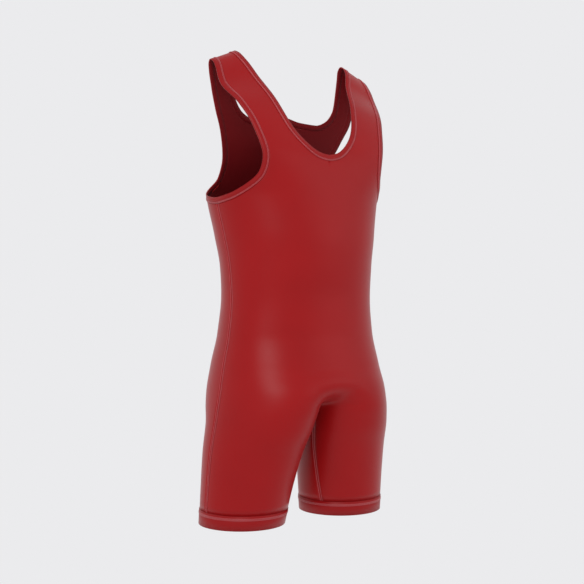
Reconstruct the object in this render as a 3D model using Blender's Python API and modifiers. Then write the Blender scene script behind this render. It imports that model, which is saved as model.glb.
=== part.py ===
"""A sleeveless wrestling singlet, worn shape with no wearer, in metres, +Z up, front facing -Y.

The origin lies between the tops of the two straps, where shoulders hold the garment. The cloth follows
a general figure given by level sections. Every piece is a loft on that figure, thickened outwards.
"""

import math
from collections import namedtuple

import bpy
import numpy as np

CLOTH = 0.0014          # thickness of the panels
BAND = 0.0021           # thickness of the neck and armhole bands, which are folded double
HEM = 0.0023            # thickness of the leg bands
SEAM_GAP = 0.0003       # space between pieces at a seam
BAND_WIDTH = 0.011      # neck and armhole bands, across
LEG_BAND_HEIGHT = 0.026
HEM_LEVEL = -0.836      # bottom edge of the legs
CROTCH_LEVEL = -0.629   # where the two legs part
SHOULDER_SLOPE = 0.42   # fall of the strap tops outwards, per metre
STRAP_INNER = 0.120     # distance of the straps' inner edge from the middle, on the shoulder
SLOPE_ENDS = -0.16      # level at which the shoulder slope has died away

# One row for each level section of the figure. "width" is the whole half width, "middle" the line of
# the side seams, "front" and "back" the depths from it. A square of 2 is an ellipse, more is boxier.
# Below the waist each leg has its own oval about "leg_centre", joined to the other over "blend",
# and "lean" carries its inner side forwards, where the inseam runs.
Section = namedtuple(
    "Section", "z width middle front back front_square back_square leg_centre lean blend"
)
FIGURE = [
    Section(0.000, 0.215, 0.000, 0.000, 0.000, 4.5, 4.5, 0.0, 0.0, 0.0),
    Section(-0.005, 0.215, 0.000, 0.012, 0.005, 4.5, 4.5, 0.0, 0.0, 0.0),
    Section(-0.020, 0.215, -0.002, 0.023, 0.009, 4.5, 4.5, 0.0, 0.0, 0.0),
    Section(-0.050, 0.213, -0.004, 0.037, 0.013, 4.5, 4.5, 0.0, 0.0, 0.0),
    Section(-0.100, 0.205, -0.006, 0.072, 0.017, 4.5, 4.5, 0.0, 0.0, 0.0),
    Section(-0.144, 0.195, -0.009, 0.092, 0.031, 4.2, 4.0, 0.0, 0.0, 0.0),
    Section(-0.187, 0.181, -0.012, 0.105, 0.056, 3.6, 3.4, 0.0, 0.0, 0.0),
    Section(-0.225, 0.170, -0.013, 0.110, 0.084, 2.8, 2.8, 0.0, 0.0, 0.0),
    Section(-0.262, 0.165, -0.014, 0.113, 0.108, 2.3, 2.4, 0.0, 0.0, 0.0),
    Section(-0.325, 0.1525, -0.019, 0.117, 0.115, 2.2, 2.2, 0.0, 0.0, 0.0),
    Section(-0.380, 0.1440, -0.024, 0.110, 0.112, 2.2, 2.2, 0.0, 0.0, 0.0),
    Section(-0.440, 0.1415, -0.027, 0.102, 0.117, 2.2, 2.2, 0.0, 0.0, 0.0),
    Section(-0.500, 0.1470, -0.027, 0.103, 0.126, 2.2, 2.2, 0.0, 0.0, 0.0),
    Section(-0.556, 0.1575, -0.026, 0.108, 0.131, 2.15, 2.15, 0.030, 0.010, 0.020),
    Section(-0.590, 0.1630, -0.026, 0.108, 0.130, 2.1, 2.1, 0.060, 0.028, 0.045),
    Section(-0.629, 0.1690, -0.025, 0.101, 0.118, 2.0, 2.0, 0.08825, 0.040, 0.030),
    Section(-0.660, 0.1735, -0.023, 0.100, 0.100, 2.0, 2.0, 0.0925, 0.030, 0.030),
    Section(-0.710, 0.1795, -0.018, 0.090, 0.090, 2.0, 2.0, 0.0985, 0.016, 0.030),
    Section(-0.770, 0.1830, -0.014, 0.081, 0.081, 2.0, 2.0, 0.1045, 0.006, 0.030),
    Section(-0.836, 0.1855, -0.010, 0.074, 0.074, 2.0, 2.0, 0.1105, 0.000, 0.030),
]

# Edges of the openings, from the strap's top down. "around" is degrees round the figure from the
# middle of the front or back (0) to the side seam (90).
Edge = namedtuple("Edge", "z around")
NECK_FRONT = [
    Edge(0.000, 29.5), Edge(-0.050, 25.5), Edge(-0.100, 22.0), Edge(-0.140, 18.6),
    Edge(-0.170, 12.2), Edge(-0.184, 5.4), Edge(-0.187, 0.0),
]
NECK_BACK = [
    Edge(0.000, 29.5), Edge(-0.050, 29.0), Edge(-0.080, 28.5), Edge(-0.103, 26.0),
    Edge(-0.116, 20.0), Edge(-0.117, 10.0), Edge(-0.114, 0.0),
]
ARMHOLE_FRONT = [
    Edge(0.000, 41.0), Edge(-0.050, 42.3), Edge(-0.100, 40.0), Edge(-0.144, 38.6),
    Edge(-0.187, 39.3), Edge(-0.222, 45.0), Edge(-0.246, 59.0), Edge(-0.258, 74.0), Edge(-0.262, 90.0),
]
ARMHOLE_BACK = [
    Edge(0.000, 41.0), Edge(-0.050, 39.5), Edge(-0.100, 38.5), Edge(-0.144, 36.5),
    Edge(-0.187, 35.5), Edge(-0.220, 38.5), Edge(-0.244, 52.0), Edge(-0.257, 70.0), Edge(-0.262, 90.0),
]

COLUMNS = 10            # faces of a panel from its middle, or the inseam, to the side seam
NECK_ROWS = 14          # rows of faces beside the neck opening
CORNER_ROWS = 5         # rows beside the bottom of the armhole
BODY_ROWS = 15          # rows from there to the crotch
LEG_ROWS = 7            # rows from the crotch to the leg band
NECK_SHARE = 0.66       # share of the armhole that lies beside the neck rows
CORNER_LEVEL = -0.264   # where the last row beside the armhole meets the panel's middle
CORNER_EASE = 2.5       # above 1, these rows level out early, to stay below the armhole

CROTCH_CROWDING = 1.8   # above 1, rows crowd towards the crotch, where the section changes fast
SHOULDER_CROWDING = 1.5  # above 1, rows crowd towards the fold over the shoulder
NECK_SHARES = np.linspace(0.0, 1.0, NECK_ROWS + 1) ** SHOULDER_CROWDING
ARM_SHARES = np.concatenate([
    NECK_SHARES * NECK_SHARE,
    NECK_SHARE + (1 - NECK_SHARE) * np.linspace(0.0, 1.0, CORNER_ROWS + 1)[1:],
])
DEGREE_LENGTH = 0.0022  # about one degree round the figure, along the cloth
STEP = 0.0001           # small moves that measure how the figure's surface runs
STEP_DEGREES = 0.01
MERGE = 0.00001

INSEAM_TURN = 30.0      # degrees by which the inseam has moved to the front at the hem

RED = (0.335, 0.008, 0.012, 1.0)
BAND_RED = (0.300, 0.007, 0.010, 1.0)


def smooth_slopes(at, values, flat_start, flat_end):
    """Slopes for a curve that never overshoots its rows."""
    steps = np.diff(at)
    rises = np.diff(values) / steps
    slopes = np.zeros_like(values)
    same_way = rises[:-1] * rises[1:] > 0
    near = 2 * steps[1:] + steps[:-1]
    far = steps[1:] + 2 * steps[:-1]
    safe = np.where(same_way, rises[:-1], 1.0), np.where(same_way, rises[1:], 1.0)
    slopes[1:-1] = np.where(same_way, (near + far) / (near / safe[0] + far / safe[1]), 0.0)
    slopes[0] = 0.0 if flat_start else rises[0]
    slopes[-1] = 0.0 if flat_end else rises[-1]
    return slopes


def smooth_curve(at, values, where, flat_start=False, flat_end=False):
    """The smooth curve through the rows' values, read at the places asked for."""
    slopes = smooth_slopes(at, values, flat_start, flat_end)
    i = np.clip(np.searchsorted(at, where) - 1, 0, len(at) - 2)
    step = at[i + 1] - at[i]
    t = (where - at[i]) / step
    ease = t * t * (3 - 2 * t)
    bend = t * (1 - t)
    return (
        values[i] * (1 - ease) + values[i + 1] * ease
        + bend * step * (slopes[i] * (1 - t) - slopes[i + 1] * t)
    )


def figure_rows():
    """The sections with their distance down the front, and a mirrored one that rounds the top."""
    table = np.array(FIGURE, dtype=float)
    z, front = table[:, 0], table[:, 3]
    down = np.concatenate([[0.0], np.cumsum(np.hypot(np.diff(z), np.diff(front)))])
    over = table[1].copy()
    over[3:5] *= -1
    return np.concatenate([[-down[1]], down]), np.vstack([over, table])


DOWN, TABLE = figure_rows()
LEVELS = np.linspace(0.0, DOWN[-1], 4000)


def section_at(down):
    columns = [smooth_curve(DOWN, TABLE[:, k], down) for k in range(TABLE.shape[1])]
    return Section(*columns)


LEVEL_OF = section_at(LEVELS).z


def down_of(z):
    """Distance down the figure's front of a level."""
    return np.interp(-np.asarray(z, dtype=float), -LEVEL_OF, LEVELS)


def oval(x, y, s, deep, square):
    """How far outside one leg's oval, or the body's, a point lies."""
    reach = s.width - s.leg_centre
    u = (x - s.leg_centre) / reach
    v = (y - s.middle + s.lean * (1 - u) / 2) / deep
    return ((np.abs(u) ** square + np.abs(v) ** square) ** (1 / square) - 1) * reach


def outside(x, y, s, deep, square):
    """The same for both legs together, with the join between them filled over the blend."""
    one = oval(x, y, s, deep, square)
    other = oval(-x, y, s, deep, square)
    blend = np.maximum(s.blend, 1e-9)
    near = np.maximum(blend - np.abs(one - other), 0.0) / blend
    return np.minimum(one, other) - near * near * blend / 4


def inner_angle(s, deep, square, sign):
    """Where a section starts: the middle of the body, or the inseam where the legs are apart."""
    u = -s.leg_centre / (s.width - s.leg_centre)
    middle = s.middle - s.lean * (1 - u) / 2
    apart = outside(0.0 * middle, middle, s, deep, square) > -1e-7
    near, far = np.zeros_like(deep), 1.5 * deep
    for _ in range(40):
        y = (near + far) / 2
        inside = outside(0.0 * y, middle + sign * y, s, deep, square) < 0
        near, far = np.where(inside, y, near), np.where(inside, far, y)
    return np.where(apart, -90.0, np.degrees(np.arctan2(u, near / deep)))


def figure_point(down, around, back):
    """Points of the figure's right-hand half, on its front or its back."""
    down, around = np.broadcast_arrays(np.asarray(down, float), np.asarray(around, float))
    s = section_at(down)
    sign = 1.0 if back else -1.0
    deep = np.maximum(s.back if back else s.front, 1e-7)
    square = s.back_square if back else s.front_square
    across, along = np.sin(np.radians(around)), np.cos(np.radians(around))
    size = (np.abs(across) ** square + np.abs(along) ** square) ** (-1 / square)
    u, v = size * across, size * along
    reach = s.width - s.leg_centre
    most = np.where(u < 0, s.leg_centre / reach / np.maximum(-u, 1e-9), 1.5)
    low, high = np.full(u.shape, 0.5), np.clip(most, 0.5, 1.5)

    def place(scale):
        x = s.leg_centre + reach * u * scale
        return x, s.middle - s.lean * (1 - u * scale) / 2 + sign * deep * v * scale

    for _ in range(40):
        scale = (low + high) / 2
        inside = outside(*place(scale), s, deep, square) < 0
        low, high = np.where(inside, scale, low), np.where(inside, high, scale)
    x, y = place(np.where(s.blend > 1e-6, low, 1.0))
    fade = np.clip((s.z - SLOPE_ENDS) / -SLOPE_ENDS, 0.0, 1.0)
    fall = SHOULDER_SLOPE * (x - STRAP_INNER) * fade * fade * (3 - 2 * fade)
    return np.stack([x, y, s.z - fall], axis=-1)


def edge_curve(rows, share):
    """An opening's edge, evenly along the cloth: square to the shoulder line, level at its other end."""
    rows = np.array(rows)
    down = down_of(rows[:, 0])
    at = np.concatenate([[0.0], np.cumsum(np.hypot(np.diff(down), np.diff(rows[:, 1]) * DEGREE_LENGTH))])
    where = share * at[-1]
    return (
        smooth_curve(at, down, where, flat_end=True),
        smooth_curve(at, rows[:, 1], where, flat_start=True),
    )


def inset(down, around, back, away, width):
    """An edge moved into the cloth, square to itself. "away" is 1 for the neck, -1 for an armhole."""
    here = figure_point(down, around, back)
    by_down = (figure_point(down + STEP, around, back) - here) / STEP
    by_around = (figure_point(down, around + STEP_DEGREES, back) - here) / STEP_DEGREES
    run = np.gradient(here, axis=0)
    aside = np.cross(np.cross(by_down, by_around), run)
    aside /= np.linalg.norm(aside, axis=-1, keepdims=True)
    cloth_side = by_down + away * by_around / DEGREE_LENGTH
    aside *= np.sign(np.sum(aside * cloth_side, axis=-1, keepdims=True))
    a, b, c = (np.sum(f * g, -1) for f, g in (
        (by_down, by_down), (by_down, by_around), (by_around, by_around)))
    p, q = np.sum(aside * by_down, -1) * width, np.sum(aside * by_around, -1) * width
    area = a * c - b * b
    new_down, new_around = down + (c * p - b * q) / area, around + (a * q - b * p) / area
    new_down[0], new_around[-1] = down[0], around[-1]
    return new_down, new_around


def inseam_angle(down, back):
    """Where the inseam runs: at the innermost line at the crotch, and further forward at the hem."""
    crotch, hem = down_of(CROTCH_LEVEL), down_of(HEM_LEVEL)
    turn = INSEAM_TURN * (down - crotch) / (hem - crotch)
    return -90.0 - turn if back else -90.0 + turn


def level_row(start, end, back, columns):
    """Points evenly spaced along one row of a panel, between two places on the figure."""
    def points_at(t):
        return figure_point(start[0] + (end[0] - start[0]) * t, start[1] + (end[1] - start[1]) * t, back)

    fine = np.linspace(0.0, 1.0, 8 * columns + 1)
    steps = np.linalg.norm(np.diff(points_at(fine), axis=0), axis=1)
    along = np.concatenate([[0.0], np.cumsum(steps)])
    return points_at(np.interp(np.linspace(0.0, along[-1], columns + 1), along, fine))


def opening(rows, share, back, away, width):
    down, around = edge_curve(rows, share)
    return inset(down, around, back, away, width) if width else (down, around)


def panel_rows(back):
    """The two ends of each row of a half panel: its middle or inseam, and its armhole or side seam."""
    neck_rows = NECK_BACK if back else NECK_FRONT
    arm_rows = ARMHOLE_BACK if back else ARMHOLE_FRONT
    beside = BAND_WIDTH + SEAM_GAP
    neck = opening(neck_rows, NECK_SHARES, back, 1, beside)
    arm = opening(arm_rows, ARM_SHARES, back, -1, beside)
    crotch, hem = down_of(CROTCH_LEVEL), down_of(HEM_LEVEL + LEG_BAND_HEIGHT + SEAM_GAP)
    corner = down_of(CORNER_LEVEL)
    corner_ease = 1 - (1 - np.linspace(0, 1, CORNER_ROWS + 1)[1:]) ** CORNER_EASE
    body_ease = 1 - (1 - np.linspace(0, 1, BODY_ROWS + 1)[1:]) ** CROTCH_CROWDING
    leg_ease = np.linspace(0, 1, LEG_ROWS + 1)[1:] ** CROTCH_CROWDING
    legs = crotch + (hem - crotch) * leg_ease
    inner = np.concatenate([
        neck[0],
        neck[0][-1] + (corner - neck[0][-1]) * corner_ease,
        corner + (crotch - corner) * body_ease,
        legs,
    ])
    outer = np.concatenate([arm[0], arm[0][-1] + (crotch - arm[0][-1]) * body_ease, legs])
    section = section_at(inner)
    deep, square = (section.back, section.back_square) if back else (section.front, section.front_square)
    start = inner_angle(section, np.maximum(deep, 1e-7), square, 1.0 if back else -1.0)
    start = np.where(section.blend > 1e-6, start, 0.0)
    start[: NECK_ROWS + 1] = neck[1]
    start[-LEG_ROWS - 1:] = inseam_angle(inner[-LEG_ROWS - 1:], back)
    end = np.full(len(outer), 90.0)
    end[: len(arm[1])] = arm[1]
    return np.stack([inner, start], 1), np.stack([outer, end], 1)


def half_panel(back):
    starts, ends = panel_rows(back)
    grid = np.array([level_row(a, b, back, COLUMNS) for a, b in zip(starts, ends)])
    apart = SEAM_GAP / 2 * (1 if back else -1)
    grid[0, :, 1] += apart
    grid[NECK_ROWS + CORNER_ROWS:, -1, 1] += apart
    grid[-LEG_ROWS - 1:, 0, 1] += apart
    grid[NECK_ROWS:-LEG_ROWS, 0, 0] = 0.0
    return grid


def band_side(rows, shares, back, away):
    edges = [opening(rows, shares, back, away, BAND_WIDTH * k / 2) for k in range(3)]
    return np.stack([figure_point(down, around, back) for down, around in edges], axis=1)


def half_neck_band():
    """From the middle of the back, over the shoulder, to the middle of the front."""
    back = band_side(NECK_BACK, NECK_SHARES, True, 1)
    front = band_side(NECK_FRONT, NECK_SHARES, False, 1)
    grid = np.concatenate([back[::-1], front[1:]])
    grid[[0, -1], :, 0] = 0.0
    return grid


def armhole_band():
    """All round an armhole, from the shoulder down the front and up the back."""
    front = band_side(ARMHOLE_FRONT, ARM_SHARES, False, -1)
    back = band_side(ARMHOLE_BACK, ARM_SHARES, True, -1)
    return np.concatenate([front, back[-2:0:-1]])[:, ::-1]


def leg_band():
    """All round a leg, on the same columns as the panels above it."""
    rows = []
    for down in down_of(np.linspace(HEM_LEVEL + LEG_BAND_HEIGHT, HEM_LEVEL, 3)):
        front = level_row((down, inseam_angle(down, False)), (down, 90.0), False, COLUMNS)
        back = level_row((down, inseam_angle(down, True)), (down, 90.0), True, COLUMNS)
        rows.append(np.concatenate([front, back[-2:0:-1]]))
    return np.array(rows)


def cloth_faces(rows, columns, closed_rows, closed_columns, flip):
    faces = []
    for r in range(rows if closed_rows else rows - 1):
        for c in range(columns if closed_columns else columns - 1):
            r2, c2 = (r + 1) % rows, (c + 1) % columns
            face = [r * columns + c, r2 * columns + c, r2 * columns + c2, r * columns + c2]
            faces.append(face[::-1] if flip else face)
    return faces


def cloth_piece(name, grid, thickness, slot, mirror=False, right=False, inside_out=False,
                closed_rows=False, closed_columns=False):
    """A loft through a grid of points, thickened outwards from the figure."""
    points = grid * (-1, 1, 1) if right else grid
    faces = cloth_faces(*grid.shape[:2], closed_rows, closed_columns, inside_out != right)
    mesh = bpy.data.meshes.new(name)
    mesh.from_pydata(points.reshape(-1, 3).tolist(), [], faces)
    mesh.update()
    mesh.materials.append(slot)
    piece = bpy.data.objects.new(name, mesh)
    garment.objects.link(piece)
    piece.parent = shoulders
    if mirror:
        halves = piece.modifiers.new("halves", "MIRROR")
        halves.merge_threshold = MERGE
    wall = piece.modifiers.new("wall", "SOLIDIFY")
    wall.thickness = thickness
    wall.offset = 1.0
    return piece


def cloth_material(name, colour, roughness):
    material = bpy.data.materials.new(name)
    material.use_nodes = True
    shader = material.node_tree.nodes["Principled BSDF"]
    shader.inputs["Base Color"].default_value = colour
    shader.inputs["Roughness"].default_value = roughness
    shader.inputs["Metallic"].default_value = 0.0
    return material


for old in list(bpy.data.objects):
    bpy.data.objects.remove(old, do_unlink=True)

garment = bpy.data.collections.new("wrestling_singlet")
bpy.context.scene.collection.children.link(garment)
shoulders = bpy.data.objects.new("shoulders", None)
garment.objects.link(shoulders)

panel_cloth = cloth_material("panel_cloth", RED, 0.38)
band_cloth = cloth_material("band_cloth", BAND_RED, 0.42)

cloth_piece("front_panel", half_panel(False), CLOTH, panel_cloth, mirror=True)
cloth_piece("back_panel", half_panel(True), CLOTH, panel_cloth, mirror=True, inside_out=True)
cloth_piece("neck_band", half_neck_band(), BAND, band_cloth, mirror=True)
for side in ("left", "right"):
    is_right = side == "right"
    cloth_piece(f"armhole_band_{side}", armhole_band(), BAND, band_cloth, right=is_right, closed_rows=True)
    cloth_piece(f"leg_band_{side}", leg_band(), HEM, band_cloth, right=is_right, closed_columns=True)
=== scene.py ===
"""The looks of a wrestling singlet: fine cloth on the frame's figure, with seams, bands and stitches."""

import math
from collections import namedtuple

import bpy
import numpy as np
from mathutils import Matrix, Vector


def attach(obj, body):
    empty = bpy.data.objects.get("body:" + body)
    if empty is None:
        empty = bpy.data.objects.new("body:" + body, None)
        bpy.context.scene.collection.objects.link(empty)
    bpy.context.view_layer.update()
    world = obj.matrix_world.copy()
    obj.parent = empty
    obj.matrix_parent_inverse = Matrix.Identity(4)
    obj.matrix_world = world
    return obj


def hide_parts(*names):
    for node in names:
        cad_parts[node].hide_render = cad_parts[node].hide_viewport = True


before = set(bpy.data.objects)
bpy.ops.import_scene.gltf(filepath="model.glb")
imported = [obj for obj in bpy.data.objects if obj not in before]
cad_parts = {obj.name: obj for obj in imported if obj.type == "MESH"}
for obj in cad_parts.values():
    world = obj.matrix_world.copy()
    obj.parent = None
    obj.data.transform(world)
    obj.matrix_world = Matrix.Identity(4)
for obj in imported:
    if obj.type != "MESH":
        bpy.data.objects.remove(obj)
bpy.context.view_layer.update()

CLOTH = 0.0014          # thickness of the panels
BAND = 0.0021           # thickness of the neck and armhole bands, which are folded double
HEM = 0.0023            # thickness of the leg bands
SEAM_GAP = 0.00003      # space between pieces at a seam
BAND_WIDTH = 0.011      # neck and armhole bands, across
LEG_BAND_HEIGHT = 0.026
HEM_LEVEL = -0.836      # bottom edge of the legs
CROTCH_LEVEL = -0.629   # where the two legs part
SHOULDER_SLOPE = 0.42   # fall of the strap tops outwards, per metre
STRAP_INNER = 0.120     # distance of the straps' inner edge from the middle, on the shoulder
SLOPE_ENDS = -0.16      # level at which the shoulder slope has died away

# One row for each level section of the figure. "width" is the whole half width, "middle" the line of
# the side seams, "front" and "back" the depths from it. A square of 2 is an ellipse, more is boxier.
# Below the waist each leg has its own oval about "leg_centre", joined to the other over "blend",
# and "lean" carries its inner side forwards, where the inseam runs.
Section = namedtuple(
    "Section", "z width middle front back front_square back_square leg_centre lean blend"
)
FIGURE = [
    Section(0.000, 0.215, 0.000, 0.000, 0.000, 4.5, 4.5, 0.0, 0.0, 0.0),
    Section(-0.005, 0.215, 0.000, 0.012, 0.005, 4.5, 4.5, 0.0, 0.0, 0.0),
    Section(-0.020, 0.215, -0.002, 0.023, 0.009, 4.5, 4.5, 0.0, 0.0, 0.0),
    Section(-0.050, 0.213, -0.004, 0.037, 0.013, 4.5, 4.5, 0.0, 0.0, 0.0),
    Section(-0.100, 0.205, -0.006, 0.072, 0.017, 4.5, 4.5, 0.0, 0.0, 0.0),
    Section(-0.144, 0.195, -0.009, 0.092, 0.031, 4.2, 4.0, 0.0, 0.0, 0.0),
    Section(-0.187, 0.181, -0.012, 0.105, 0.056, 3.6, 3.4, 0.0, 0.0, 0.0),
    Section(-0.225, 0.170, -0.013, 0.110, 0.084, 2.8, 2.8, 0.0, 0.0, 0.0),
    Section(-0.262, 0.165, -0.014, 0.113, 0.108, 2.3, 2.4, 0.0, 0.0, 0.0),
    Section(-0.325, 0.1525, -0.019, 0.117, 0.115, 2.2, 2.2, 0.0, 0.0, 0.0),
    Section(-0.380, 0.1440, -0.024, 0.110, 0.112, 2.2, 2.2, 0.0, 0.0, 0.0),
    Section(-0.440, 0.1415, -0.027, 0.102, 0.117, 2.2, 2.2, 0.0, 0.0, 0.0),
    Section(-0.500, 0.1470, -0.027, 0.103, 0.126, 2.2, 2.2, 0.0, 0.0, 0.0),
    Section(-0.556, 0.1575, -0.026, 0.108, 0.131, 2.15, 2.15, 0.030, 0.010, 0.020),
    Section(-0.590, 0.1630, -0.026, 0.108, 0.130, 2.1, 2.1, 0.060, 0.028, 0.045),
    Section(-0.629, 0.1690, -0.025, 0.101, 0.118, 2.0, 2.0, 0.08825, 0.040, 0.030),
    Section(-0.660, 0.1735, -0.023, 0.100, 0.100, 2.0, 2.0, 0.0925, 0.030, 0.030),
    Section(-0.710, 0.1795, -0.018, 0.090, 0.090, 2.0, 2.0, 0.0985, 0.016, 0.030),
    Section(-0.770, 0.1830, -0.014, 0.081, 0.081, 2.0, 2.0, 0.1045, 0.006, 0.030),
    Section(-0.836, 0.1855, -0.010, 0.074, 0.074, 2.0, 2.0, 0.1105, 0.000, 0.030),
]

# Edges of the openings, from the strap's top down. "around" is degrees round the figure from the
# middle of the front or back (0) to the side seam (90).
Edge = namedtuple("Edge", "z around")
NECK_FRONT = [
    Edge(0.000, 29.5), Edge(-0.050, 25.5), Edge(-0.100, 22.0), Edge(-0.140, 18.6),
    Edge(-0.170, 12.2), Edge(-0.184, 5.4), Edge(-0.187, 0.0),
]
NECK_BACK = [
    Edge(0.000, 29.5), Edge(-0.050, 29.0), Edge(-0.080, 28.5), Edge(-0.103, 26.0),
    Edge(-0.116, 20.0), Edge(-0.117, 10.0), Edge(-0.114, 0.0),
]
ARMHOLE_FRONT = [
    Edge(0.000, 41.0), Edge(-0.050, 42.3), Edge(-0.100, 40.0), Edge(-0.144, 38.6),
    Edge(-0.187, 39.3), Edge(-0.222, 45.0), Edge(-0.246, 59.0), Edge(-0.258, 74.0), Edge(-0.262, 90.0),
]
ARMHOLE_BACK = [
    Edge(0.000, 41.0), Edge(-0.050, 39.5), Edge(-0.100, 38.5), Edge(-0.144, 36.5),
    Edge(-0.187, 35.5), Edge(-0.220, 38.5), Edge(-0.244, 52.0), Edge(-0.257, 70.0), Edge(-0.262, 90.0),
]

COLUMNS = 36            # faces of a panel from its middle, or the inseam, to the side seam
NECK_ROWS = 48          # rows of faces beside the neck opening
CORNER_ROWS = 18        # rows beside the bottom of the armhole
BODY_ROWS = 56          # rows from there to the crotch
LEG_ROWS = 26           # rows from the crotch to the leg band
NECK_SHARE = 0.66       # share of the armhole that lies beside the neck rows
CORNER_LEVEL = -0.345   # where the last row beside the armhole meets the panel's middle
CORNER_EASE = 1.1       # above 1, these rows level out early, to stay below the armhole

CROTCH_CROWDING = 1.8   # above 1, rows crowd towards the crotch, where the section changes fast
SHOULDER_CROWDING = 1.5  # above 1, rows crowd towards the fold over the shoulder
NECK_SHARES = np.linspace(0.0, 1.0, NECK_ROWS + 1) ** SHOULDER_CROWDING
ARM_SHARES = np.concatenate([
    NECK_SHARES * NECK_SHARE,
    NECK_SHARE + (1 - NECK_SHARE) * np.linspace(0.0, 1.0, CORNER_ROWS + 1)[1:],
])
DEGREE_LENGTH = 0.0022  # about one degree round the figure, along the cloth
STEP = 0.0001           # small moves that measure how the figure's surface runs
STEP_DEGREES = 0.01
MERGE = 0.00001

INSEAM_TURN = 30.0      # degrees by which the inseam has moved to the front at the hem

FLATLOCK = 1.4          # degrees from a seam to each of its two stitch lines
THREAD_LIFT = 0.0001    # how far a thread's middle lies above the cloth
THREAD_RADIUS = 0.0005
HEM_STITCHES = (0.0185, 0.0200, 0.0215)  # heights of the stitch lines above a leg's bottom edge
BAND_STITCHES = (0.0085, 0.0100)         # distances of the stitch lines from an opening's edge
SIDE_TOP = -0.2735      # where the side seams start, below the armhole bands
HEM_TOP = HEM_LEVEL + LEG_BAND_HEIGHT + 0.001  # where side seam and inseam stitches end
CROTCH_TOP = CROTCH_LEVEL - 0.002              # where the inseam stitches start
EDGE_POINTS = 121       # points along half of an opening's stitch line
SIDE_POINTS = 160
INSEAM_POINTS = 80
HEM_POINTS = 60


def smooth_slopes(at, values, flat_start, flat_end):
    """Slopes for a curve that never overshoots its rows."""
    steps = np.diff(at)
    rises = np.diff(values) / steps
    slopes = np.zeros_like(values)
    same_way = rises[:-1] * rises[1:] > 0
    near = 2 * steps[1:] + steps[:-1]
    far = steps[1:] + 2 * steps[:-1]
    safe = np.where(same_way, rises[:-1], 1.0), np.where(same_way, rises[1:], 1.0)
    slopes[1:-1] = np.where(same_way, (near + far) / (near / safe[0] + far / safe[1]), 0.0)
    slopes[0] = 0.0 if flat_start else rises[0]
    slopes[-1] = 0.0 if flat_end else rises[-1]
    return slopes


def smooth_curve(at, values, where, flat_start=False, flat_end=False):
    """The smooth curve through the rows' values, read at the places asked for."""
    slopes = smooth_slopes(at, values, flat_start, flat_end)
    i = np.clip(np.searchsorted(at, where) - 1, 0, len(at) - 2)
    step = at[i + 1] - at[i]
    t = (where - at[i]) / step
    ease = t * t * (3 - 2 * t)
    bend = t * (1 - t)
    return (
        values[i] * (1 - ease) + values[i + 1] * ease
        + bend * step * (slopes[i] * (1 - t) - slopes[i + 1] * t)
    )


def figure_rows():
    """The sections with their distance down the front, and a mirrored one that rounds the top."""
    table = np.array(FIGURE, dtype=float)
    z, front = table[:, 0], table[:, 3]
    down = np.concatenate([[0.0], np.cumsum(np.hypot(np.diff(z), np.diff(front)))])
    over = table[1].copy()
    over[3:5] *= -1
    return np.concatenate([[-down[1]], down]), np.vstack([over, table])


DOWN, TABLE = figure_rows()
LEVELS = np.linspace(0.0, DOWN[-1], 4000)


def section_at(down):
    columns = [smooth_curve(DOWN, TABLE[:, k], down) for k in range(TABLE.shape[1])]
    return Section(*columns)


LEVEL_OF = section_at(LEVELS).z


def down_of(z):
    """Distance down the figure's front of a level."""
    return np.interp(-np.asarray(z, dtype=float), -LEVEL_OF, LEVELS)


def oval(x, y, s, deep, square):
    """How far outside one leg's oval, or the body's, a point lies."""
    reach = s.width - s.leg_centre
    u = (x - s.leg_centre) / reach
    v = (y - s.middle + s.lean * (1 - u) / 2) / deep
    return ((np.abs(u) ** square + np.abs(v) ** square) ** (1 / square) - 1) * reach


def outside(x, y, s, deep, square):
    """The same for both legs together, with the join between them filled over the blend."""
    one = oval(x, y, s, deep, square)
    other = oval(-x, y, s, deep, square)
    blend = np.maximum(s.blend, 1e-9)
    near = np.maximum(blend - np.abs(one - other), 0.0) / blend
    return np.minimum(one, other) - near * near * blend / 4


def inner_angle(s, deep, square, sign):
    """Where a section starts: the middle of the body, or the inseam where the legs are apart."""
    u = -s.leg_centre / (s.width - s.leg_centre)
    middle = s.middle - s.lean * (1 - u) / 2
    apart = outside(0.0 * middle, middle, s, deep, square) > -1e-7
    near, far = np.zeros_like(deep), 1.5 * deep
    for _ in range(40):
        y = (near + far) / 2
        inside = outside(0.0 * y, middle + sign * y, s, deep, square) < 0
        near, far = np.where(inside, y, near), np.where(inside, far, y)
    return np.where(apart, -90.0, np.degrees(np.arctan2(u, near / deep)))


def figure_point(down, around, back):
    """Points of the figure's right-hand half, on its front or its back."""
    down, around = np.broadcast_arrays(np.asarray(down, float), np.asarray(around, float))
    s = section_at(down)
    sign = 1.0 if back else -1.0
    deep = np.maximum(s.back if back else s.front, 1e-7)
    square = s.back_square if back else s.front_square
    across, along = np.sin(np.radians(around)), np.cos(np.radians(around))
    size = (np.abs(across) ** square + np.abs(along) ** square) ** (-1 / square)
    u, v = size * across, size * along
    reach = s.width - s.leg_centre
    most = np.where(u < 0, s.leg_centre / reach / np.maximum(-u, 1e-9), 1.5)
    low, high = np.full(u.shape, 0.5), np.clip(most, 0.5, 1.5)

    def place(scale):
        x = s.leg_centre + reach * u * scale
        return x, s.middle - s.lean * (1 - u * scale) / 2 + sign * deep * v * scale

    for _ in range(40):
        scale = (low + high) / 2
        inside = outside(*place(scale), s, deep, square) < 0
        low, high = np.where(inside, scale, low), np.where(inside, high, scale)
    x, y = place(np.where(s.blend > 1e-6, low, 1.0))
    fade = np.clip((s.z - SLOPE_ENDS) / -SLOPE_ENDS, 0.0, 1.0)
    fall = SHOULDER_SLOPE * (x - STRAP_INNER) * fade * fade * (3 - 2 * fade)
    return np.stack([x, y, s.z - fall], axis=-1)


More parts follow.
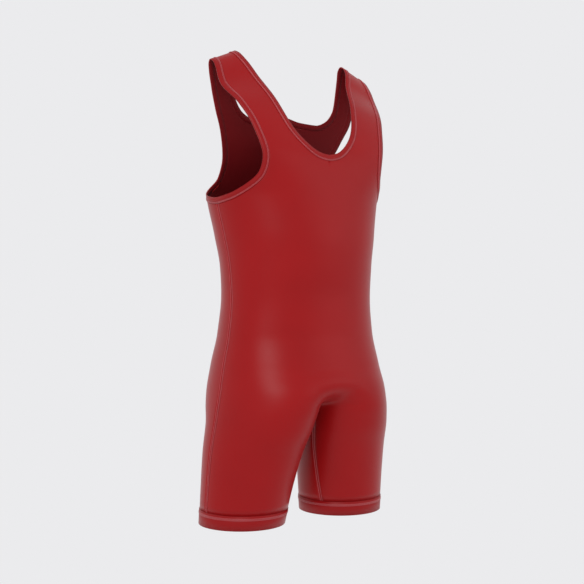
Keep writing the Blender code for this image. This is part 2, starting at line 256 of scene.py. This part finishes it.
def edge_curve(rows, share):
    """An opening's edge, evenly along the cloth: square to the shoulder line, level at its other end."""
    rows = np.array(rows)
    down = down_of(rows[:, 0])
    at = np.concatenate([[0.0], np.cumsum(np.hypot(np.diff(down), np.diff(rows[:, 1]) * DEGREE_LENGTH))])
    where = share * at[-1]
    return (
        smooth_curve(at, down, where, flat_end=True),
        smooth_curve(at, rows[:, 1], where, flat_start=True),
    )


def inset(down, around, back, away, width):
    """An edge moved into the cloth, square to itself. "away" is 1 for the neck, -1 for an armhole."""
    here = figure_point(down, around, back)
    by_down = (figure_point(down + STEP, around, back) - here) / STEP
    by_around = (figure_point(down, around + STEP_DEGREES, back) - here) / STEP_DEGREES
    run = np.gradient(here, axis=0)
    aside = np.cross(np.cross(by_down, by_around), run)
    aside /= np.linalg.norm(aside, axis=-1, keepdims=True)
    cloth_side = by_down + away * by_around / DEGREE_LENGTH
    aside *= np.sign(np.sum(aside * cloth_side, axis=-1, keepdims=True))
    a, b, c = (np.sum(f * g, -1) for f, g in (
        (by_down, by_down), (by_down, by_around), (by_around, by_around)))
    p, q = np.sum(aside * by_down, -1) * width, np.sum(aside * by_around, -1) * width
    area = a * c - b * b
    new_down, new_around = down + (c * p - b * q) / area, around + (a * q - b * p) / area
    new_down[0], new_around[-1] = down[0], around[-1]
    return new_down, new_around


def inseam_angle(down, back):
    """Where the inseam runs: at the innermost line at the crotch, and further forward at the hem."""
    crotch, hem = down_of(CROTCH_LEVEL), down_of(HEM_LEVEL)
    turn = INSEAM_TURN * (down - crotch) / (hem - crotch)
    return -90.0 - turn if back else -90.0 + turn


def level_row(start, end, back, columns):
    """Points evenly spaced along one row of a panel, between two places on the figure."""
    def points_at(t):
        return figure_point(start[0] + (end[0] - start[0]) * t, start[1] + (end[1] - start[1]) * t, back)

    fine = np.linspace(0.0, 1.0, 8 * columns + 1)
    steps = np.linalg.norm(np.diff(points_at(fine), axis=0), axis=1)
    along = np.concatenate([[0.0], np.cumsum(steps)])
    return points_at(np.interp(np.linspace(0.0, along[-1], columns + 1), along, fine))


def opening(rows, share, back, away, width):
    down, around = edge_curve(rows, share)
    return inset(down, around, back, away, width) if width else (down, around)


def panel_rows(back):
    """The two ends of each row of a half panel: its middle or inseam, and its armhole or side seam."""
    neck_rows = NECK_BACK if back else NECK_FRONT
    arm_rows = ARMHOLE_BACK if back else ARMHOLE_FRONT
    beside = BAND_WIDTH + SEAM_GAP
    neck = opening(neck_rows, NECK_SHARES, back, 1, beside)
    arm = opening(arm_rows, ARM_SHARES, back, -1, beside)
    crotch, hem = down_of(CROTCH_LEVEL), down_of(HEM_LEVEL + LEG_BAND_HEIGHT + SEAM_GAP)
    corner = down_of(CORNER_LEVEL)
    corner_ease = 1 - (1 - np.linspace(0, 1, CORNER_ROWS + 1)[1:]) ** CORNER_EASE
    body_ease = 1 - (1 - np.linspace(0, 1, BODY_ROWS + 1)[1:]) ** CROTCH_CROWDING
    leg_ease = np.linspace(0, 1, LEG_ROWS + 1)[1:] ** CROTCH_CROWDING
    legs = crotch + (hem - crotch) * leg_ease
    inner = np.concatenate([
        neck[0],
        neck[0][-1] + (corner - neck[0][-1]) * corner_ease,
        corner + (crotch - corner) * body_ease,
        legs,
    ])
    outer = np.concatenate([arm[0], arm[0][-1] + (crotch - arm[0][-1]) * body_ease, legs])
    section = section_at(inner)
    deep, square = (section.back, section.back_square) if back else (section.front, section.front_square)
    start = inner_angle(section, np.maximum(deep, 1e-7), square, 1.0 if back else -1.0)
    start = np.where(section.blend > 1e-6, start, 0.0)
    start[: NECK_ROWS + 1] = neck[1]
    start[-LEG_ROWS - 1:] = inseam_angle(inner[-LEG_ROWS - 1:], back)
    end = np.full(len(outer), 90.0)
    end[: len(arm[1])] = arm[1]
    return np.stack([inner, start], 1), np.stack([outer, end], 1)


def half_panel(back):
    starts, ends = panel_rows(back)
    grid = np.array([level_row(a, b, back, COLUMNS) for a, b in zip(starts, ends)])
    apart = SEAM_GAP / 2 * (1 if back else -1)
    grid[0, :, 1] += apart
    grid[NECK_ROWS + CORNER_ROWS:, -1, 1] += apart
    grid[-LEG_ROWS - 1:, 0, 1] += apart
    grid[NECK_ROWS:-LEG_ROWS, 0, 0] = 0.0
    return grid


def band_side(rows, shares, back, away):
    edges = [opening(rows, shares, back, away, BAND_WIDTH * k / 2) for k in range(3)]
    return np.stack([figure_point(down, around, back) for down, around in edges], axis=1)


def half_neck_band():
    """From the middle of the back, over the shoulder, to the middle of the front."""
    back = band_side(NECK_BACK, NECK_SHARES, True, 1)
    front = band_side(NECK_FRONT, NECK_SHARES, False, 1)
    grid = np.concatenate([back[::-1], front[1:]])
    grid[[0, -1], :, 0] = 0.0
    return grid


def armhole_band():
    """All round an armhole, from the shoulder down the front and up the back."""
    front = band_side(ARMHOLE_FRONT, ARM_SHARES, False, -1)
    back = band_side(ARMHOLE_BACK, ARM_SHARES, True, -1)
    return np.concatenate([front, back[-2:0:-1]])[:, ::-1]


def leg_band():
    """All round a leg, on the same columns as the panels above it."""
    rows = []
    for down in down_of(np.linspace(HEM_LEVEL + LEG_BAND_HEIGHT, HEM_LEVEL, 3)):
        front = level_row((down, inseam_angle(down, False)), (down, 90.0), False, COLUMNS)
        back = level_row((down, inseam_angle(down, True)), (down, 90.0), True, COLUMNS)
        rows.append(np.concatenate([front, back[-2:0:-1]]))
    return np.array(rows)


def cloth_faces(rows, columns, closed_rows, closed_columns, flip):
    faces = []
    for r in range(rows if closed_rows else rows - 1):
        for c in range(columns if closed_columns else columns - 1):
            r2, c2 = (r + 1) % rows, (c + 1) % columns
            face = [r * columns + c, r2 * columns + c, r2 * columns + c2, r * columns + c2]
            faces.append(face[::-1] if flip else face)
    return faces


def cloth_piece(name, node, grid, thickness, materials, mirror=False, right=False,
                inside_out=False, closed_rows=False, closed_columns=False):
    """A fine loft through a grid of points, thickened outwards, that stands for a CAD node."""
    points = grid * (-1, 1, 1) if right else grid
    faces = cloth_faces(*grid.shape[:2], closed_rows, closed_columns, inside_out != right)
    mesh = bpy.data.meshes.new(name)
    mesh.from_pydata(points.reshape(-1, 3).tolist(), [], faces)
    mesh.update()
    for material in materials:
        mesh.materials.append(material)
    mesh.polygons.foreach_set("use_smooth", [True] * len(mesh.polygons))
    piece = bpy.data.objects.new(name, mesh)
    bpy.context.scene.collection.objects.link(piece)
    if mirror:
        halves = piece.modifiers.new("halves", "MIRROR")
        halves.merge_threshold = MERGE
    wall = piece.modifiers.new("wall", "SOLIDIFY")
    wall.thickness = thickness
    wall.offset = 1.0
    wall.material_offset = 1
    wall.material_offset_rim = 0
    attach(piece, "root")
    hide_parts(node)
    return piece


def knit_material(name, colour, roughness, sheen, scale, rib):
    """Satin stretch knit: fine ribs of loops, a little uneven in tone, with a soft sheen."""
    material = bpy.data.materials.new(name)
    material.use_nodes = True
    nodes, links = material.node_tree.nodes, material.node_tree.links
    shader = nodes["Principled BSDF"]
    shader.inputs["Roughness"].default_value = roughness
    shader.inputs["Sheen Weight"].default_value = sheen
    shader.inputs["Sheen Roughness"].default_value = 0.35
    shader.inputs["Sheen Tint"].default_value = (1.0, 0.45, 0.45, 1.0)
    shader.inputs["Specular IOR Level"].default_value = 0.16
    place = nodes.new("ShaderNodeTexCoord")
    tone = nodes.new("ShaderNodeTexNoise")
    tone.inputs["Scale"].default_value = 9.0
    tone.inputs["Detail"].default_value = 3.0
    ramp = nodes.new("ShaderNodeMix")
    ramp.data_type = "RGBA"
    dark = tuple(0.88 * c for c in colour[:3]) + (1.0,)
    light = tuple(min(1.0, 1.10 * c) for c in colour[:3]) + (1.0,)
    ramp.inputs["A"].default_value = dark
    ramp.inputs["B"].default_value = light
    links.new(place.outputs["Object"], tone.inputs["Vector"])
    links.new(tone.outputs["Fac"], ramp.inputs["Factor"])
    links.new(ramp.outputs["Result"], shader.inputs["Base Color"])
    ribs = nodes.new("ShaderNodeTexWave")
    ribs.wave_type = "BANDS"
    ribs.bands_direction = rib
    ribs.inputs["Scale"].default_value = scale
    ribs.inputs["Distortion"].default_value = 1.5
    ribs.inputs["Detail"].default_value = 2.0
    ribs.inputs["Detail Scale"].default_value = 3.0
    links.new(place.outputs["Object"], ribs.inputs["Vector"])
    bump = nodes.new("ShaderNodeBump")
    bump.inputs["Strength"].default_value = 0.10
    bump.inputs["Distance"].default_value = 0.0003
    links.new(ribs.outputs["Fac"], bump.inputs["Height"])
    links.new(bump.outputs["Normal"], shader.inputs["Normal"])
    return material


def thread_material(name, colour):
    """Dyed sewing thread, uneven in tone along its twist."""
    material = bpy.data.materials.new(name)
    material.use_nodes = True
    nodes, links = material.node_tree.nodes, material.node_tree.links
    shader = nodes["Principled BSDF"]
    shader.inputs["Roughness"].default_value = 0.5
    shader.inputs["Sheen Weight"].default_value = 0.2
    place = nodes.new("ShaderNodeTexCoord")
    twist = nodes.new("ShaderNodeTexNoise")
    twist.inputs["Scale"].default_value = 700.0
    mix = nodes.new("ShaderNodeMix")
    mix.data_type = "RGBA"
    mix.inputs["A"].default_value = tuple(0.75 * c for c in colour[:3]) + (1.0,)
    mix.inputs["B"].default_value = colour
    links.new(place.outputs["Object"], twist.inputs["Vector"])
    links.new(twist.outputs["Fac"], mix.inputs["Factor"])
    links.new(mix.outputs["Result"], shader.inputs["Base Color"])
    return material


def surface_line(down, around, back, lift):
    """Points along the figure, lifted clear of the cloth."""
    here = figure_point(down, around, back)
    by_down = figure_point(down + STEP, around, back) - here
    by_around = figure_point(down, around + STEP_DEGREES, back) - here
    out = np.cross(by_down, by_around) * (-1.0 if back else 1.0)
    out /= np.linalg.norm(out, axis=-1, keepdims=True)
    return here + out * lift


def thread(name, lines):
    """A stitch line: thin curves along the cloth, with the mirrored ones given too."""
    curve = bpy.data.curves.new(name, "CURVE")
    curve.dimensions = "3D"
    curve.bevel_depth = THREAD_RADIUS
    curve.bevel_resolution = 1
    curve.resolution_u = 1
    curve.use_fill_caps = True
    for points in lines:
        spline = curve.splines.new("POLY")
        spline.points.add(len(points) - 1)
        spline.points.foreach_set("co", np.column_stack([points, np.ones(len(points))]).ravel())
    curve.materials.append(thread_cloth)
    piece = bpy.data.objects.new(name, curve)
    bpy.context.scene.collection.objects.link(piece)
    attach(piece, "root")
    return piece


def both_sides(lines):
    return list(lines) + [line * (-1, 1, 1) for line in lines]


def edge_thread(name, rows, back, away, widths, lift):
    shares = np.linspace(0.0, 1.0, EDGE_POINTS)
    lines = []
    for width in widths:
        down, around = opening(rows, shares, back, away, width)
        lines.append(surface_line(down, around, back, lift))
    thread(name, both_sides(lines))


def seam_threads():
    """Flatlock stitches down the side seams and the inseams."""
    downs = np.linspace(down_of(SIDE_TOP), down_of(HEM_TOP), SIDE_POINTS)
    around = np.full(downs.shape, 90.0 - FLATLOCK)
    lines = [surface_line(downs, around, back, CLOTH + THREAD_LIFT) for back in (False, True)]
    thread("side_seam_stitches", both_sides(lines))
    downs = np.linspace(down_of(CROTCH_TOP), down_of(HEM_TOP), INSEAM_POINTS)
    lines = [surface_line(downs, inseam_angle(downs, back) + FLATLOCK, back, CLOTH + THREAD_LIFT)
             for back in (False, True)]
    thread("inseam_stitches", both_sides(lines))


def hem_threads():
    rows = []
    for level in HEM_STITCHES:
        down = down_of(HEM_LEVEL + level)
        for back in (False, True):
            around = np.linspace(float(inseam_angle(down, back)), 90.0, HEM_POINTS)
            rows.append(surface_line(np.full(HEM_POINTS, float(down)), around, back, HEM + THREAD_LIFT))
    thread("leg_hem_stitches", both_sides(rows))


panel_cloth = knit_material("panel_knit", (0.285, 0.004, 0.005, 1.0), 0.34, 0.06, 420.0, "X")
band_cloth = knit_material("band_knit", (0.265, 0.004, 0.005, 1.0), 0.38, 0.06, 420.0, "Z")
# Painted shade: the inner side of every piece is given a much darker red than the outside, standing in
# for the shade inside the garment.
inside_painted_shade = knit_material("inside_knit_painted_shade", (0.150, 0.002, 0.004, 1.0), 0.70, 0.03, 420.0, "X")
thread_cloth = thread_material("stitch_thread", (0.46, 0.045, 0.055, 1.0))

cloth_piece("front_cloth", "front_panel", half_panel(False), CLOTH,
            (panel_cloth, inside_painted_shade), mirror=True)
cloth_piece("back_cloth", "back_panel", half_panel(True), CLOTH,
            (panel_cloth, inside_painted_shade), mirror=True, inside_out=True)
cloth_piece("neck_trim", "neck_band", half_neck_band(), BAND,
            (band_cloth, inside_painted_shade), mirror=True)
for side in ("left", "right"):
    is_right = side == "right"
    cloth_piece(f"armhole_trim_{side}", f"armhole_band_{side}", armhole_band(), BAND,
                (band_cloth, inside_painted_shade), right=is_right, closed_rows=True)
    cloth_piece(f"leg_trim_{side}", f"leg_band_{side}", leg_band(), HEM,
                (band_cloth, inside_painted_shade), right=is_right, closed_columns=True)

seam_threads()
hem_threads()
for place, back in (("front", False), ("back", True)):
    neck_rows = NECK_BACK if back else NECK_FRONT
    arm_rows = ARMHOLE_BACK if back else ARMHOLE_FRONT
    edge_thread(f"neck_stitches_{place}", neck_rows, back, 1, BAND_STITCHES, BAND + THREAD_LIFT)
    edge_thread(f"armhole_stitches_{place}", arm_rows, back, -1, BAND_STITCHES, BAND + THREAD_LIFT)


def area_light(name, place, aim, size, power, colour=(1.0, 1.0, 1.0)):
    light = bpy.data.lights.new(name, "AREA")
    light.shape = "RECTANGLE"
    light.size, light.size_y = size
    light.energy = power
    light.color = colour
    lamp = bpy.data.objects.new(name, light)
    bpy.context.scene.collection.objects.link(lamp)
    lamp.location = place
    turn_to(lamp, aim)


def turn_to(thing, aim):
    thing.rotation_euler = (Vector(aim) - Vector(thing.location)).to_track_quat("-Z", "Y").to_euler()


# The backdrop's colour, of the floor and of the light all round.
PALE = (0.831, 0.831, 0.847, 1.0)
AZIMUTH = math.radians(36.0)     # how far the camera stands to the garment's right of its front
DISTANCE = 1.95
MIDDLE = (0.0, -0.014, -0.424)   # what the camera looks at, level with it
LENS = 65.5
SHIFT = (-0.0026, -0.0034)

bpy.context.scene.view_settings.view_transform = "Standard"
world = bpy.data.worlds.new("studio")
world.use_nodes = True
world.node_tree.nodes["Background"].inputs["Color"].default_value = PALE
world.node_tree.nodes["Background"].inputs["Strength"].default_value = 1.0
bpy.context.scene.world = world

bpy.ops.mesh.primitive_plane_add(size=60.0, location=(0.0, 0.0, -1.6))
floor = bpy.context.object
floor.name = "floor"
pale = bpy.data.materials.new("pale_floor")
pale.use_nodes = True
pale.node_tree.nodes["Principled BSDF"].inputs["Base Color"].default_value = (0.0, 0.0, 0.0, 1.0)
pale.node_tree.nodes["Principled BSDF"].inputs["Specular IOR Level"].default_value = 0.0
pale.node_tree.nodes["Principled BSDF"].inputs["Emission Color"].default_value = PALE
pale.node_tree.nodes["Principled BSDF"].inputs["Emission Strength"].default_value = 1.0
floor.data.materials.append(pale)

area_light("key", (-2.0, -1.9, 0.9), (0.0, 0.0, -0.4), (1.4, 1.4), 32.0)
area_light("fill", (1.6, -2.2, 0.2), (0.0, 0.0, -0.4), (1.5, 1.5), 6.0)

camera = bpy.data.objects.new("camera", bpy.data.cameras.new("camera"))
bpy.context.scene.collection.objects.link(camera)
camera.data.sensor_width = 36.0
camera.data.lens = LENS
camera.data.shift_x, camera.data.shift_y = SHIFT
camera.location = (
    MIDDLE[0] - DISTANCE * math.sin(AZIMUTH),
    MIDDLE[1] - DISTANCE * math.cos(AZIMUTH),
    MIDDLE[2],
)
turn_to(camera, MIDDLE)
bpy.context.scene.camera = camera
